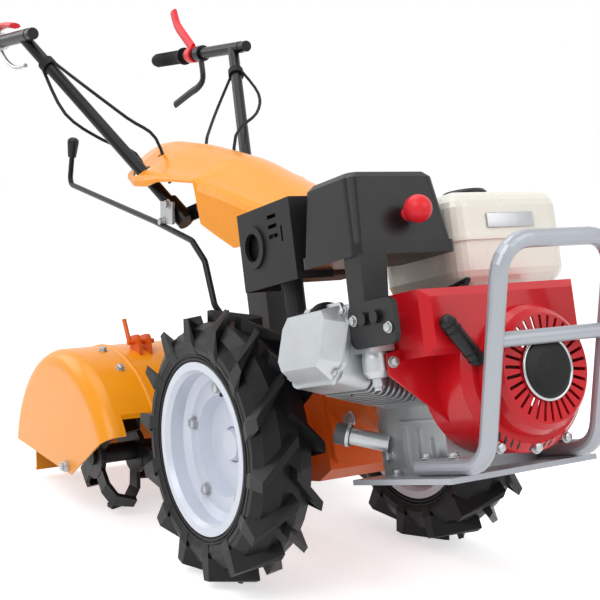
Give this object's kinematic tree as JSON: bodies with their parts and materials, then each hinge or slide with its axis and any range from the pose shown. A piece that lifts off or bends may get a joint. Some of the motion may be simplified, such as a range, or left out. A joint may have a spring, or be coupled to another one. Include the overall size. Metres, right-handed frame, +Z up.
{
  "type": "hand tractor",
  "caption": "Two-wheel walking tractor with a petrol engine in front, hood and handlebars above, and a powered rotary tiller behind.",
  "frame": {"origin": "on the floor, under the middle of the whole machine's length and width", "axes": "+X towards the engine, the way it drives, +Y to its left, +Z up"},
  "size_m": [1.7725, 0.6, 1.0769],
  "materials": {
    "tyre_rubber": "moulded rubber",
    "rim_paint": "silver enamel",
    "bright_steel": "zinc plated",
    "case_paint": "orange enamel on castings",
    "cast_aluminium": "as cast",
    "black_plastic": "moulded",
    "red_plastic": "moulded",
    "black_steel": "black enamel",
    "red_paint": "red enamel",
    "cream_paint": "cream enamel",
    "silver_paint": "silver enamel",
    "hood_plastic": "moulded, glossy",
    "tiller_paint": "yellow-orange enamel",
    "grip_rubber": "moulded",
    "tine_steel": "black forged steel"
  },
  "bodies": {
    "chassis": {"gearbox": "case_paint", "clutch_housing": "case_paint", "crankcase": "cast_aluminium", "cylinder": "cast_aluminium", "valve_cover": "cast_aluminium", "oil_filler": "black_plastic", "carburettor": "cast_aluminium", "control_panel": "black_plastic", "air_cleaner": "black_plastic", "cleaner_knob": "red_plastic", "muffler": "black_steel", "muffler_guard": "black_steel", "fan_shroud": "red_paint", "recoil_cover": "red_paint", "recoil_hub": "black_steel", "starter_grip": "black_plastic", "fuel_tank": "cream_paint", "fuel_cap": "black_plastic", "engine_plate": "silver_paint", "bumper": "silver_paint", "hood": "hood_plastic", "handle_post": "black_steel", "height_sector": "bright_steel", "handle_right": "black_steel", "handle_left": "black_steel", "grip_right": "grip_rubber", "grip_left": "grip_rubber", "lever_right": "red_plastic", "lever_left": "red_plastic", "lower_lever": "black_steel", "hook_lever": "bright_steel", "cables": "grip_rubber", "gear_lever": "black_steel", "gear_knob": "black_plastic", "tiller_case": "case_paint", "tiller_shield": "tiller_paint", "depth_bracket": "case_paint"},
    "wheel_right": {"tyre_right": "tyre_rubber", "rim_right": "rim_paint", "half_axle_right": "bright_steel"},
    "wheel_left": {"tyre_left": "tyre_rubber", "rim_left": "rim_paint", "half_axle_left": "bright_steel"},
    "rotor": {"tine_rotor": "tine_steel"},
    "flap": {"tiller_flap": "tiller_paint"}
  },
  "joints": [
    {"name": "wheel_right_roll", "type": "hinge", "parent": "chassis", "child": "wheel_right", "pos_m": [0.3369, -0.2125, 0.225], "axis": [0, 1, 0], "continuous": true},
    {"name": "wheel_left_roll", "type": "hinge", "parent": "chassis", "child": "wheel_left", "pos_m": [0.3369, 0.2125, 0.225], "axis": [0, 1, 0], "continuous": true},
    {"name": "rotor_turn", "type": "hinge", "parent": "chassis", "child": "rotor", "pos_m": [-0.14059, 0, 0.115], "axis": [0, 1, 0], "continuous": true},
    {"name": "flap_swing", "type": "hinge", "parent": "chassis", "child": "flap", "pos_m": [-0.46329, 0, 0.108], "axis": [0, 1, 0], "range_deg": [0, 70]}
  ]
}
